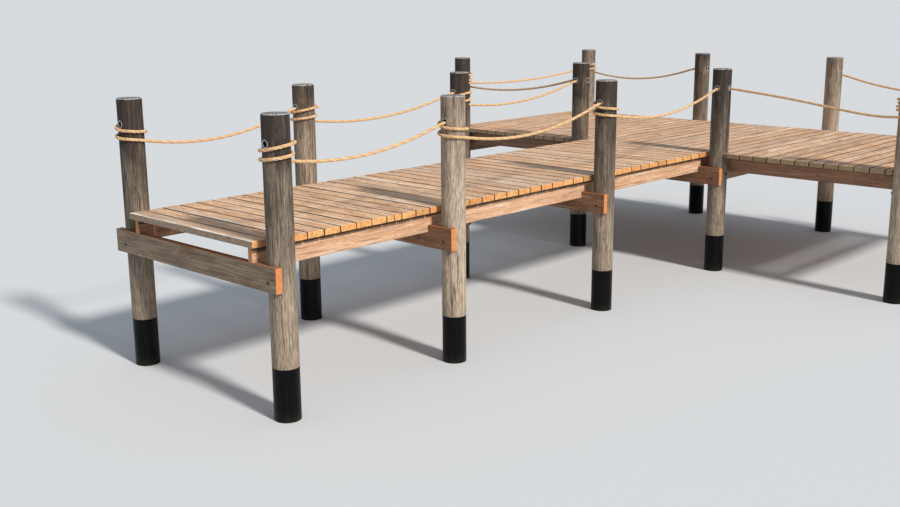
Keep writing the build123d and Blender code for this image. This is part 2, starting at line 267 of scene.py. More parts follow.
def sawn_softwood(name, axis, faces, ends, wear, dirt, painted_shade_under_deck=0.0, dry_top=0.0):
    """Sawn softwood out in the weather, for boards and beams. It gives the eye short grain
    stripes of two tones, fibres and flecks, pale worn streaks that some timbers have more of,
    a few dark checks and knots, and bright orange cut ends. Each timber has its own tone, and
    its long edges are darker. faces holds the colours of shaded, plain and worn grain, ends
    those of fresh, red and old cut ends. wear, dirt in the joints, the shade under the deck
    and the dry top edge each run from 0 to 1."""
    shade, base, pale = faces
    material, tree, shader = new_finish(name, 0.72)
    place = add(tree, "ShaderNodeTexCoord", {}).outputs["Object"]
    across = add(tree, "ShaderNodeAttribute", {}, attribute_name="across").outputs["Fac"]
    normal = add(tree, "ShaderNodeSeparateXYZ", {0: add(tree, "ShaderNodeNewGeometry", {}).outputs["Normal"]})
    upward = add(tree, RANGE, {"Value": normal.outputs["Z"], "From Min": 0.3, "From Max": 0.7})

    # A timber's tone gives the seed of its patterns and two chances from 0 to 1.
    tone = add(tree, "ShaderNodeAttribute", {}, attribute_name="tone").outputs["Fac"]
    seed, wide, wider = [add(tree, MATH, {0: tone, 1: spread}, operation="MULTIPLY")
                         for spread in (40.0, 7.3, 23.7)]
    chance = add(tree, MATH, {0: wide}, operation="FRACT")
    other_chance = add(tree, MATH, {0: wider}, operation="FRACT")

    # Stripes of early and late wood, 15 mm wide and 420 mm long.
    where = add(tree, MAPPING, {"Vector": place, "Scale": grain_scale(axis, 15, 420)})
    stripes = add(tree, NOISE, {"Vector": where, "W": seed, "Scale": 1.0, "Detail": 6.0,
                                "Roughness": 0.70}, noise_dimensions="4D")
    colour = layer(tree, shade, base, stripes, 0.36, 0.60)

    # Fibres and flecks 6 mm wide and 60 mm long, a little coarser than real ones.
    where = add(tree, MAPPING, {"Vector": place, "Scale": grain_scale(axis, 6, 60)})
    fibres = add(tree, NOISE, {"Vector": where, "W": seed, "Scale": 1.0, "Detail": 4.0,
                               "Roughness": 0.65}, noise_dimensions="4D")
    colour = layer(tree, colour, shade, fibres, 0.34, 0.50, 0.75, 0.0)
    colour = layer(tree, colour, pale, fibres, 0.54, 0.66, 0.0, 0.3 + 0.35 * wear)

    # Pale streaks where feet and weather have worn the surface, 30 mm wide and 700 mm long.
    where = add(tree, MAPPING, {"Vector": place, "Scale": grain_scale(axis, 30, 700)})
    streaks = add(tree, NOISE, {"Vector": where, "W": seed, "Scale": 1.0, "Detail": 6.0,
                                "Roughness": 0.72}, noise_dimensions="4D")
    band = add(tree, MATH, {0: streaks, 1: 0.6, 2: across}, operation="MULTIPLY_ADD")
    band = add(tree, MATH, {0: band, 1: -0.48, 2: 0.13}, operation="COMPARE")
    band = add(tree, MATH, {0: band, 1: chance}, operation="MULTIPLY")
    more = add(tree, MATH, {0: chance, 1: 0.5, 2: band}, operation="MULTIPLY_ADD")
    streaks = add(tree, MATH, {0: more, 1: 0.16 * wear, 2: streaks}, operation="MULTIPLY_ADD")
    colour = layer(tree, colour, pale, streaks, 0.57, 0.70, 0.0, 0.85)

    # Some timbers have gone greyer than others.
    colour = layer(tree, colour, "a89480", tone, 0.25, 1.0, 0.0, 0.45)

    # The beam that faces the open water has gone grey all over.
    grey = layer(tree, "4b3d30", "a3917a", stripes, 0.34, 0.64)
    share = add(tree, MATH, {0: tone, 1: GREY_BEAM, 2: 0.02}, operation="COMPARE")
    share = add(tree, MATH, {0: share, 1: 0.75}, operation="MULTIPLY")
    colour = add(tree, MIX, {"Factor": share, "A": colour, "B": grey}, data_type="RGBA")

    # White smudges on the greyest timbers, one in each 90 mm or so.
    smudges = add(tree, NOISE, {"Vector": place, "Scale": every(90), "Detail": 6.0, "Roughness": 0.75})
    share = add(tree, RANGE, {"Value": smudges, "From Min": 0.62, "From Max": 0.72, "To Max": 0.7})
    share = add(tree, MATH, {0: share, 1: tone}, operation="MULTIPLY")
    colour = add(tree, MIX, {"Factor": share, "A": colour, "B": "d5cec6"}, data_type="RGBA")

    # Weather stains, 130 mm wide and 330 mm long.
    where = add(tree, MAPPING, {"Vector": place, "Scale": grain_scale(axis, 130, 330)})
    stains = add(tree, NOISE, {"Vector": where, "Scale": 1.0, "Detail": 5.0, "Roughness": 0.65})
    colour = layer(tree, colour, shade, stains, 0.50, 0.66, 0.0, 0.6)

    # Drying checks: thin dark lines along the grain, about 30 mm apart.
    where = add(tree, MAPPING, {"Vector": place, "Scale": grain_scale(axis, 30, 1300)})
    lines = add(tree, NOISE, {"Vector": where, "W": seed, "Scale": 1.0, "Detail": 2.0}, noise_dimensions="4D")
    check = add(tree, MATH, {0: lines, 1: 0.57, 2: 0.010}, operation="COMPARE")
    share = add(tree, MATH, {0: check, 1: 0.45}, operation="MULTIPLY")
    colour = add(tree, MIX, {"Factor": share, "A": colour, "B": "5c4030"}, data_type="RGBA")

    # Knots up to 45 mm wide, one in each 260 mm across and 420 mm along.
    where = add(tree, MAPPING, {"Vector": place, "Scale": grain_scale(axis, 260, 420)})
    knots = add(tree, "ShaderNodeTexVoronoi", {"Vector": where, "Scale": 1.0, "Randomness": 1.0})
    colour = layer(tree, colour, "5f3c25", knots.outputs["Distance"], 0.04, 0.085, 0.75, 0.0)

    # Dirt in the joints, along the edges of the face, and a painted shadow: a near-black band under what
    # rests on the top edge.
    # A beam's top that the deck keeps dry is still orange brown.
    edge = add(tree, MATH, {0: across}, operation="ABSOLUTE")
    colour = layer(tree, colour, "33231a", edge, 0.87, 0.95, 0.0, dirt)
    colour = layer(tree, colour, "120c08", across, 0.52, 0.66, 0.0, painted_shade_under_deck)
    colour = layer(tree, colour, "a9683a", across, 0.93, 0.98, 0.0, dry_top)

    colour = oldest_board(tree, colour, tone, across, upward, (stripes, fibres, stains))
    end = cut_end(tree, place, seed, (chance, other_chance), ends)
    facing = add(tree, MATH, {0: normal.outputs[axis.upper()]}, operation="ABSOLUTE")
    colour = layer(tree, colour, end, facing, 0.75, 0.85)
    height = add(tree, MATH, {0: fibres, 1: 0.6, 2: stripes}, operation="MULTIPLY_ADD")
    height = add(tree, MATH, {0: check, 1: -0.9, 2: height}, operation="MULTIPLY_ADD")
    bump = add(tree, "ShaderNodeBump", {"Height": height, "Distance": 0.003, "Strength": 0.9})
    tree.links.new(colour.outputs[MIXED_COLOUR], shader.inputs["Base Color"])
    tree.links.new(bump.outputs[0], shader.inputs["Normal"])
    return material


def round_timber(name, centre, bleach, seed):
    """Machine-rounded pile that has stood in the weather. It gives the eye upright streaks,
    near black towards the head and bleached beige lower down, long cracks, blotches, and a
    pale grey sawn top with rings."""
    material, tree, shader = new_finish(name, 0.8)
    world = add(tree, "ShaderNodeTexCoord", {}).outputs["Object"]
    place = add(tree, "ShaderNodeVectorMath", {0: world, 1: (*centre, 0.0)}, operation="SUBTRACT")
    up = add(tree, "ShaderNodeSeparateXYZ", {0: place}).outputs["Z"]

    # Streaks 14 mm wide and 380 mm long, and fibres of 7 mm by 70 mm.
    where = add(tree, MAPPING, {"Vector": place, "Scale": grain_scale("z", 14, 380)})
    streaks = add(tree, NOISE, {"Vector": where, "W": seed, "Scale": 1.0, "Detail": 6.0,
                                "Roughness": 0.70}, noise_dimensions="4D")
    where = add(tree, MAPPING, {"Vector": place, "Scale": grain_scale("z", 7, 70)})
    fibres = add(tree, NOISE, {"Vector": where, "W": seed, "Scale": 1.0, "Detail": 4.0,
                               "Roughness": 0.65}, noise_dimensions="4D")

    # Blotches of 130 mm by 420 mm decide where the bleached wood starts.
    where = add(tree, MAPPING, {"Vector": place, "Scale": grain_scale("z", 130, 420)})
    blotches = add(tree, NOISE, {"Vector": where, "W": seed + 3, "Scale": 1.0, "Detail": 4.0,
                                 "Roughness": 0.6}, noise_dimensions="4D")
    by_height = add(tree, RANGE, {"Value": up, "From Min": 0.6, "From Max": 2.3, "To Min": bleach + 0.55,
                                  "To Max": bleach - 0.45}, clamp=False)
    by_blotch = add(tree, RANGE, {"Value": blotches, "From Min": 0.3, "From Max": 0.7, "To Min": -0.35,
                                  "To Max": 0.35})
    fade = add(tree, MATH, {0: by_height, 1: by_blotch}, operation="ADD", use_clamp=True)
    fade = add(tree, MATH, {0: fade, 1: 0.55 + 0.45 * bleach}, operation="MULTIPLY", use_clamp=True)

    dark = layer(tree, "0a0807", "44382f", streaks, 0.43, 0.60)
    dark = layer(tree, dark, "5e4330", fibres, 0.50, 0.62, 0.0, 0.35)
    light = layer(tree, "968470", "cdb8a1", streaks, 0.36, 0.64)
    colour = add(tree, MIX, {"Factor": fade, "A": dark, "B": light}, data_type="RGBA")
    colour = layer(tree, colour, "3a3029", fibres, 0.34, 0.54, 0.65, 0.0)
    share = add(tree, RANGE, {"Value": fibres, "From Min": 0.56, "From Max": 0.72, "To Max": 0.35})
    share = add(tree, MATH, {0: share, 1: fade}, operation="MULTIPLY")
    colour = add(tree, MIX, {"Factor": share, "A": colour, "B": "e6d8c6"}, data_type="RGBA")

    # Thin cracks about 34 mm apart, which come and go.
    where = add(tree, MAPPING, {"Vector": place, "Scale": grain_scale("z", 34, 1300)})
    lines = add(tree, NOISE, {"Vector": where, "W": seed + 7, "Scale": 1.0, "Detail": 3.0},
                noise_dimensions="4D")
    crack = add(tree, MATH, {0: lines, 1: 0.5, 2: 0.014}, operation="COMPARE")
    open_here = add(tree, RANGE, {"Value": blotches, "From Min": 0.42, "From Max": 0.56, "To Max": 0.65})
    crack = add(tree, MATH, {0: crack, 1: open_here}, operation="MULTIPLY")
    colour = add(tree, MIX, {"Factor": crack, "A": colour, "B": "1d1815"}, data_type="RGBA")

    # Damp wood in the 120 mm above the sleeve.
    colour = layer(tree, colour, "6d5b49", up, SLEEVE_TOP, SLEEVE_TOP + 0.12, 0.35, 0.0)

    # Sawn top: rings 6 mm apart around the pith, a pale rim 12 mm wide that is a painted highlight, and some
    # dark splits.
    flat = add(tree, "ShaderNodeVectorMath", {0: place, 1: (1, 1, 0)}, operation="MULTIPLY")
    radius = add(tree, "ShaderNodeVectorMath", {0: flat}, operation="LENGTH").outputs["Value"]
    wobble = add(tree, NOISE, {"Vector": flat, "Scale": every(70), "Detail": 2.0})
    radius = add(tree, MATH, {0: wobble, 1: 0.02, 2: radius}, operation="MULTIPLY_ADD")
    waves = add(tree, MATH, {0: add(tree, MATH, {0: radius, 1: 2 * pi * every(6)}, operation="MULTIPLY")},
                operation="SINE")
    top = layer(tree, "8e8d8d", "6a6663", waves, -1.0, 1.0, 0.0, 0.6)
    top = layer(tree, top, "c9c4bd", radius, PILE_RADIUS - 0.002, PILE_RADIUS + 0.010, 0.0, 0.7)
    splits = add(tree, NOISE, {"Vector": flat, "W": seed + 11, "Scale": every(45), "Detail": 1.0},
                 noise_dimensions="4D")
    split = add(tree, MATH, {0: splits, 1: 0.5, 2: 0.02}, operation="COMPARE")
    top = add(tree, MIX, {"Factor": split, "A": top, "B": "332c26"}, data_type="RGBA")
    normal = add(tree, "ShaderNodeNewGeometry", {}).outputs["Normal"]
    facing = add(tree, "ShaderNodeSeparateXYZ", {0: normal}).outputs["Z"]
    colour = layer(tree, colour, top, facing, 0.45, 0.6)

    height = add(tree, MATH, {0: fibres, 1: 0.5, 2: streaks}, operation="MULTIPLY_ADD")
    height = add(tree, MATH, {0: crack, 1: -1.6, 2: height}, operation="MULTIPLY_ADD")
    bump = add(tree, "ShaderNodeBump", {"Height": height, "Distance": 0.004, "Strength": 0.9})
    tree.links.new(colour.outputs[MIXED_COLOUR], shader.inputs["Base Color"])
    tree.links.new(bump.outputs[0], shader.inputs["Normal"])
    return material


def sleeve_plastic():
    """Black polyethylene guard, extruded. It gives the eye a near-black satin skin with a soft
    highlight, faint upright scuffs and a dull band of slime at the water line."""
    material, tree, shader = new_finish("black_polyethylene_sleeve", 0.4)
    shader.inputs["Specular IOR Level"].default_value = 0.12
    place = add(tree, "ShaderNodeTexCoord", {}).outputs["Object"]
    where = add(tree, MAPPING, {"Vector": place, "Scale": grain_scale("z", 16, 400)})
    scuffs = add(tree, NOISE, {"Vector": where, "Scale": 1.0, "Detail": 4.0, "Roughness": 0.6})
    colour = layer(tree, "030405", "1b1a19", scuffs, 0.48, 0.75, 0.0, 0.45)
    up = add(tree, "ShaderNodeSeparateXYZ", {0: place}).outputs["Z"]
    patches = add(tree, NOISE, {"Vector": place, "Scale": every(45), "Detail": 4.0, "Roughness": 0.6})
    level = add(tree, MATH, {0: patches, 1: -0.12, 2: up}, operation="MULTIPLY_ADD")
    colour = layer(tree, colour, "1c1e16", level, -0.03, 0.03, 0.7, 0.0)
    rough = add(tree, RANGE, {"Value": scuffs, "From Min": 0.3, "From Max": 0.7,
                              "To Min": 0.28, "To Max": 0.42})
    tree.links.new(rough.outputs[0], shader.inputs["Roughness"])
    bump = add(tree, "ShaderNodeBump", {"Height": scuffs, "Distance": 0.001, "Strength": 0.4})
    tree.links.new(colour.outputs[MIXED_COLOUR], shader.inputs["Base Color"])
    tree.links.new(bump.outputs[0], shader.inputs["Normal"])
    return material


def eye_zinc():
    """Hot-dip galvanised eyes. They give the eye a dull pale zinc lip with spangles of 5 mm, and a bore
    painted black as shade where what stands within 60 mm closes it in."""
    material, tree, shader = new_finish("galvanised_steel_eye", 0.45, 0.6)
    place = add(tree, "ShaderNodeTexCoord", {}).outputs["Object"]
    spangle = add(tree, "ShaderNodeTexVoronoi", {"Vector": place, "Scale": every(5)})
    grey = add(tree, "ShaderNodeSeparateXYZ", {0: spangle.outputs["Color"]}).outputs["X"]
    colour = add(tree, MIX, {"Factor": grey, "A": "909395", "B": "cdd0d1"}, data_type="RGBA")
    # Painted shade: the colour goes near black where ambient occlusion within 60 mm closes the bore in.
    openness_for_painted_shade = add(tree, "ShaderNodeAmbientOcclusion", {"Distance": 0.06}).outputs["AO"]
    colour = layer(tree, "0b0b0c", colour, openness_for_painted_shade, 0.30, 0.62)
    bump = add(tree, "ShaderNodeBump", {"Height": grey, "Distance": 0.0004, "Strength": 0.5})
    tree.links.new(colour.outputs[MIXED_COLOUR], shader.inputs["Base Color"])
    tree.links.new(bump.outputs[0], shader.inputs["Normal"])
    return material


def bolt_steel():
    """Weathered steel of bolts and screws. It gives the eye dull grey metal with brown rust
    in spots of 8 mm."""
    material, tree, shader = new_finish("weathered_bolt_steel", 0.55, 0.7)
    place = add(tree, "ShaderNodeTexCoord", {}).outputs["Object"]
    spots = add(tree, NOISE, {"Vector": place, "Scale": every(8), "Detail": 4.0, "Roughness": 0.65})
    colour = layer(tree, "5d5a56", "3b2619", spots, 0.42, 0.62)
    bump = add(tree, "ShaderNodeBump", {"Height": spots, "Distance": 0.0008, "Strength": 0.6})
    tree.links.new(colour.outputs[MIXED_COLOUR], shader.inputs["Base Color"])
    tree.links.new(bump.outputs[0], shader.inputs["Normal"])
    return material


def rope_fibre():
    """Three-strand rope of natural fibre, laid. It gives the eye honey and cream strands that turn round each
    other, painted shade down in the grooves of the lay, and short hairy fibres."""
    material, tree, shader = new_finish("natural_fibre_rope", 0.85)
    shader.inputs["Sheen Weight"].default_value = 0.15
    place = add(tree, "ShaderNodeTexCoord", {}).outputs["Object"]
    strand = add(tree, "ShaderNodeAttribute", {}, attribute_name="strand").outputs["Fac"]
    groove = add(tree, "ShaderNodeAttribute", {}, attribute_name="groove").outputs["Fac"]
    colour = add(tree, MIX, {"Factor": strand, "A": "daae79", "B": "e9cda3"}, data_type="RGBA")
    fibres = add(tree, NOISE, {"Vector": place, "Scale": every(3), "Detail": 4.0, "Roughness": 0.65})
    colour = layer(tree, colour, "b57f45", fibres, 0.35, 0.6, 0.4, 0.0)
    # Painted shade: darker brown down in the grooves between the strands.
    colour = layer(tree, colour, "86592a", groove, 0.0, 0.6, 0.35, 0.0)
    soil = add(tree, NOISE, {"Vector": place, "Scale": every(120), "Detail": 2.0})
    colour = layer(tree, colour, "c08b52", soil, 0.4, 0.7, 0.0, 0.3)
    bump = add(tree, "ShaderNodeBump", {"Height": fibres, "Distance": 0.0012, "Strength": 0.8})
    tree.links.new(colour.outputs[MIXED_COLOUR], shader.inputs["Base Color"])
    tree.links.new(bump.outputs[0], shader.inputs["Normal"])
    return material


# Ropes. The routes repeat the corner points of the CAD tubes.
def free_span(share, rise, sag):
    """Height over its low end of a rope that hangs freely; sag is how far it dips below that end."""
    bend = rise + 2 * sag + 2 * sqrt(sag * (sag + rise))
    return rise * share - bend * share * (1 - share)


def taut_span(share, rise, dip):
    """Height over its low end of a rope that runs straight down and dips just before that end."""
    return rise * share - dip * share * (1 - share) ** 4


# Each rope: its piles, way of winding (-1 is clockwise from above), drops, bore heights, the
# form of its span and how far it sags or dips.
ROPES = {
    "rope_near_0_1": ("near_0", "near_1", -1, LOOSE_DROPS, HOLE, HOLE, free_span, ROPE_SAG),
    "rope_near_1_2": ("near_1", "near_2", 1, LOOSE_DROPS, HOLE, HOLE, free_span, ROPE_SAG),
    "rope_near_2_3": ("near_2", "near_3", 1, LOOSE_DROPS, HOLE, HOLE, free_span, ROPE_SAG),
    "rope_far_0_1": ("far_0", "far_1", 1, LOOSE_DROPS, HOLE, HOLE, free_span, ROPE_SAG),
    "rope_far_1_2": ("far_1", "far_2", -1, LOOSE_DROPS, HOLE, HOLE, free_span, ROPE_SAG),
    "rope_far_2_3": ("far_2", "far_3", -1, LOOSE_DROPS, HOLE, HOLE, free_span, ROPE_SAG),
    "rope_left_front": ("left_front", "far_3", -1, EVEN_DROPS, LOW_HOLE, HOLE, free_span, SIDE_ROPE_SAG),
    "rope_left_end": ("left_front", "left_back", -1, EVEN_DROPS, HOLE, LOW_HOLE, free_span,
                      LONG_ROPE_SAG),
    "rope_left_back": ("left_back", "far_back", -1, EVEN_DROPS, HOLE, HOLE, free_span, ROPE_SAG),
    "rope_right_front": ("right_front", "near_3", -1, EVEN_DROPS, LOW_HOLE, HOLE, taut_span,
                         TAUT_ROPE_DIP),
    "rope_right_end": ("right_front", "right_back", -1, EVEN_DROPS, HIGH_HOLE, LOW_HOLE, free_span,
                       LONG_ROPE_SAG),
    "rope_right_back": ("right_back", "near_back", 1, EVEN_DROPS, HOLE, HOLE, free_span, ROPE_SAG),
}


def wrap_drop(drops, angle):
    """How far a wound rope has come down, in metres, after an angle in degrees."""
    quarter = min(int(angle // 90), len(drops) - 2)
    share = angle / 90 - quarter
    return (drops[quarter] + (drops[quarter + 1] - drops[quarter]) * share) / 1000


def rope_route(start, end, turn, drops, height, end_height, span_height, amount):
    """Corner points of one rope. It leaves the start pile's bore, winds 1.75 turns down round
    the pile and runs into the end pile's bore."""
    (sx, sy), (ex, ey) = PILES[start], PILES[end]
    heading = radians(round(degrees(atan2(ey - sy, ex - sx)) / 90) * 90)
    wrap = PILE_RADIUS + ROPE / 2 + WRAP_GAP
    corner = wrap / cos(pi / WRAP_STEPS)
    local = [(ROPE_START, -0.006 * turn, height), (PILE_RADIUS + 0.029, 0.012 * turn, height),
             (PILE_RADIUS + 0.025, 0.064 * turn, height - wrap_drop(drops, 25))]
    for angle in range(45, 630, 360 // WRAP_STEPS):
        reach = corner + (0.005 if angle < 60 or angle > 600 else 0)
        local.append((reach * cos(radians(angle)), turn * reach * sin(radians(angle)),
                      height - wrap_drop(drops, angle)))
    span = sqrt((ex - sx) ** 2 + (ey - sy) ** 2)
    mouth = span - PILE_RADIUS - 0.014
    low = height - drops[-1] / 1000
    rise = end_height - 0.006 - low
    side = -turn * wrap
    for share in (0.1, 0.22, 0.36, 0.5, 0.64, 0.77, 0.89, 1.0):
        local.append((share * mouth, side * (1 - share), low + span_height(share, rise, amount)))
    local.append((span - ROPE_START, 0, end_height))
    spin = Matrix.Rotation(heading, 3, "Z")
    return [spin @ Vector(p) + Vector((sx, sy, 0)) - MIDDLE for p in local]


def smooth_line(points):
    """Points along the NURBS line of a route, read from a curve with no bevel."""
    curve = bpy.data.curves.new("route", "CURVE")
    curve.dimensions = "3D"
    curve.resolution_u = 12
    spline = curve.splines.new("NURBS")
    spline.points.add(len(points) - 1)
    for control, point in zip(spline.points, points):
        control.co = (*point, 1.0)
    spline.order_u = 3
    spline.use_endpoint_u = True
    holder = bpy.data.objects.new("route", curve)
    mesh = bpy.data.meshes.new_from_object(holder)
    line = [v.co.copy() for v in mesh.vertices]
    bpy.data.objects.remove(holder)
    bpy.data.curves.remove(curve)
    bpy.data.meshes.remove(mesh)
    return line


def even_steps(line, step):
    """The same line with points an even step apart."""
    spaced, left = [line[0]], step
    for a, b in zip(line, line[1:]):
        length = (b - a).length
        at = left
        while at <= length:
            spaced.append(a.lerp(b, at / length))
            at += step
        left = at - length
    spaced.append(line[-1])
    return spaced


class Pieces:
    """Collects points and faces of one piece, with one number a point for each named attribute."""

    def __init__(self, *attributes):
        self.points, self.faces = [], []
        self.values = {name: [] for name in attributes}

    def point(self, where, **values):
        """Adds a point and gives its number; an attribute without a value is 0 there."""
        self.points.append(tuple(where))
        for name, store in self.values.items():
            store.append(values.get(name, 0.0))
        return len(self.points) - 1

    def ring(self, centre, side, up, radius, sides):
        """Points round a centre, in the plane of side and up."""
        turns = [2 * pi * k / sides for k in range(sides)]
        return [self.point(centre + (side * cos(t) + up * sin(t)) * radius) for t in turns]

    def join(self, one, two):
        """A band of faces between two rings."""
        for k in range(len(one)):
            after = (k + 1) % len(one)
            self.faces.append((one[k], one[after], two[after], two[k]))

    def piece(self, name, material, smooth):
        """Makes the object, which stands still with the jetty."""
        mesh = bpy.data.meshes.new(name)
        mesh.from_pydata(self.points, [], self.faces)
        for key, store in self.values.items():
            mesh.attributes.new(key, "FLOAT", "POINT").data.foreach_set("value", store)
        mesh.polygons.foreach_set("use_smooth", [smooth] * len(mesh.polygons))
        mesh.materials.append(material)
        mesh.update()
        thing = bpy.data.objects.new(name, mesh)
        scene.collection.objects.link(thing)
        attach(thing, "root")
        return thing


def lay_profile():
    """Section of a laid rope: for each point its angle, its reach from the middle, the tone of
    its strand, and 1 on the crown of a strand to 0 down in the groove."""
    radius = ROPE / 2
    strand_radius = radius / (1 + 2 / sqrt(3))
    offset = radius - strand_radius
    profile = []
    for j in range(ROPE_SIDES):
        angle = 2 * pi * j / ROPE_SIDES
        strand = int(j / (ROPE_SIDES / STRANDS) + 0.5) % STRANDS
        phi = (angle + pi / STRANDS) % (2 * pi / STRANDS) - pi / STRANDS
        reach = offset * cos(phi) + sqrt(max(strand_radius ** 2 - (offset * sin(phi)) ** 2, 0))
        reach = max(reach, GROOVE * radius)
        crown = (reach / radius - GROOVE) / (1 - GROOVE)
        profile.append((angle, reach, strand / (STRANDS - 1), crown))
    return profile


def add_rope(name, route, material):
    """A laid rope of three strands that follows the route's smooth line."""
    line = even_steps(smooth_line(route), RING_STEP)
    profile = lay_profile()
    rope = Pieces("strand", "groove")
    side = (line[1] - line[0]).normalized().orthogonal().normalized()
    travelled = 0.0
    rings = []
    for k, here in enumerate(line):
        ahead = (line[min(k + 1, len(line) - 1)] - line[max(k - 1, 0)]).normalized()
        side = (side - ahead * side.dot(ahead)).normalized()
        up = ahead.cross(side)
        if k:
            travelled += (here - line[k - 1]).length
        twist = 2 * pi * travelled / LAY
        ring = []
        for angle, reach, strand, crown in profile:
            where = here + (side * cos(angle + twist) + up * sin(angle + twist)) * reach
            ring.append(rope.point(where, strand=strand, groove=crown))
        rings.append(ring)
    for one, two in zip(rings, rings[1:]):
        rope.join(one, two)
    rope.faces.append(tuple(rings[0][::-1]))
    rope.faces.append(tuple(rings[-1]))
    piece = rope.piece(name + "_laid", material, True)
    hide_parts(name)


class Timbers:
    """Collects the timbers of one piece. Each is a flat outline between two faces and has a tone,
    and across runs from -1 to 1 over its face."""

    def __init__(self):
        self.mesh = bmesh.new()
        self.tone = self.mesh.verts.layers.float.new("tone")
        self.across = self.mesh.verts.layers.float.new("across")

    def add(self, one_face, other_face, measure, tone):
        """One timber from the corners of two opposite faces; measure is the axis across its face."""
        rows = []
        values = [corner[measure] for corner in one_face]
        low, high = min(values), max(values)
        for corners in (one_face, other_face):
            row = []
            for corner in corners:
                vert = self.mesh.verts.new(Vector(corner) - MIDDLE)
                vert[self.tone] = tone
                vert[self.across] = 2 * (corner[measure] - low) / (high - low) - 1
                row.append(vert)
            rows.append(row)
        one, other = rows
        self.mesh.faces.new(one[::-1])
        self.mesh.faces.new(other)
        for k in range(len(one)):
            after = (k + 1) % len(one)
            self.mesh.faces.new((one[k], one[after], other[after], other[k]))

    def piece(self, name, material, slot, arris, *nodes):
        """Eases the arrises and makes the object, which replaces CAD nodes."""
        bmesh.ops.recalc_face_normals(self.mesh, faces=self.mesh.faces)
        sharp = [edge for edge in self.mesh.edges if edge.calc_face_angle(0) > radians(SHARP_ANGLE)]
        bmesh.ops.bevel(self.mesh, geom=sharp, offset=arris, segments=2, profile=0.6, affect="EDGES")
        mesh = bpy.data.meshes.new(name)
        self.mesh.to_mesh(mesh)
        self.mesh.free()
        mesh.materials.append(material)
        thing = bpy.data.objects.new(name, mesh)
        scene.collection.objects.link(thing)
        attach(thing, "root")
        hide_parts(*nodes)


def add_screw(screws, x, y, rng):
    """A countersunk screw head, its face just proud of the board."""
    x += rng.uniform(-SCREW_PLAY, SCREW_PLAY)
    y += rng.uniform(-SCREW_PLAY, SCREW_PLAY)
    side, up, down = Vector((1, 0, 0)), Vector((0, 1, 0)), Vector((0, 0, -1))
    top = Vector((x, y, DECK_TOP + SCREW_PROUD)) - MIDDLE
    socket, face, rim = [screws.ring(top + down * depth, side, up, radius, SCREW_SIDES)
                         for radius, depth in SCREW_RINGS]
    screws.faces.append(tuple(socket[::-1]))
    screws.join(face, socket)
    screws.join(rim, face)


def board_lines(first, last, count, rng, halved=None):
    """Edges of so many boards between two lines, with uneven narrow gaps; one may be halved."""
    pitch = (last - first + BOARD_GAP) / count
    lines = []
    for k in range(count):
        low = first + k * pitch
        high = first + (k + 1) * pitch - BOARD_GAP
        if k > 0:
            low += rng.uniform(-BOARD_PLAY, BOARD_PLAY)
        if k < count - 1:
            high += rng.uniform(-BOARD_PLAY, BOARD_PLAY)
        if k == halved:
            middle = (low + high) / 2
            lines += [(low, middle - HALVED_GAP / 2), (middle + HALVED_GAP / 2, high)]
        else:
            lines.append((low, high))
    return lines


def board_tone(rng):
    """The tone of a board; most boards have a low one."""
    return rng.random() ** 1.5 * USUAL_TONES


def add_board(boards, outline, measure, tone, rng):
    """A deck board from its outline in the plan, a little lower than its neighbours or level."""
    top = DECK_TOP + rng.uniform(-BOARD_PLAY, 0.0)
    boards.add([(x, y, DECK_BOTTOM) for x, y in outline], [(x, y, top) for x, y in outline], measure, tone)


def make_walkway_boards(screws, rng):
    """Boards across the walkway, one piece a bay. The end board is narrower and stands back."""
    material = sawn_softwood("worn_softwood_boards_of_walkway", "y", ("aa7954", "fbcda0", "fcefe0"),
                             ("e6a96a", "e89559", "91672f"), 1.0, 0.8)
    near, far = BOARD_EDGE, WALK_WIDTH - BOARD_EDGE
    lines = [(WALK_START, WALK_START + END_BOARD)]
    lines += board_lines(WALK_START + END_BOARD + BOARD_GAP, WALK_END, WALK_BOARDS, rng, HALVED_BOARD)
    bays = [Timbers() for _ in WALK_X[1:]]
    for low, high in lines:
        middle = (low + high) / 2
        bay = sum(middle >= x for x in WALK_X[1:3])
        y0 = near + (END_BOARD_SETBACK if low == WALK_START else rng.uniform(0.0, BOARD_END_PLAY))
        y1 = far - rng.uniform(0.0, BOARD_END_PLAY)
        tone = OLDEST_BOARD if low == WALK_START else board_tone(rng)
        add_board(bays[bay], [(low, y0), (high, y0), (high, y1), (low, y1)], 0, tone, rng)
        for y in WALK_STRINGERS.values():
            for share in SCREW_PLACES:
                add_screw(screws, low + (high - low) * share, y + STRINGER_WIDTH / 2, rng)
    for number, boards in enumerate(bays, 1):
        boards.piece(f"walkway_boards_{number}", material, "deck_timber", BOARD_ARRIS,
                     f"walkway_deck_{number}")


def cross_board_end(low, high):
    """The front end of a cross board: straight at the lip, or cut round the pile that it meets."""
    for y in (WALK_WIDTH, 0.0, LEFT_Y, RIGHT_Y):
        if low < y + BOARD_EDGE and high > y - BOARD_EDGE:
            end = []
            for k in range(ROUND_CUT_STEPS + 1):
                at = low + (high - low) * k / ROUND_CUT_STEPS
                cut = WALK_X[3] + sqrt(max(BOARD_EDGE ** 2 - (at - y) ** 2, 0.0))
                end.append((cut if abs(at - y) < BOARD_EDGE else CROSS_START, at))
            return end
    return [(CROSS_START, low), (CROSS_START, high)]


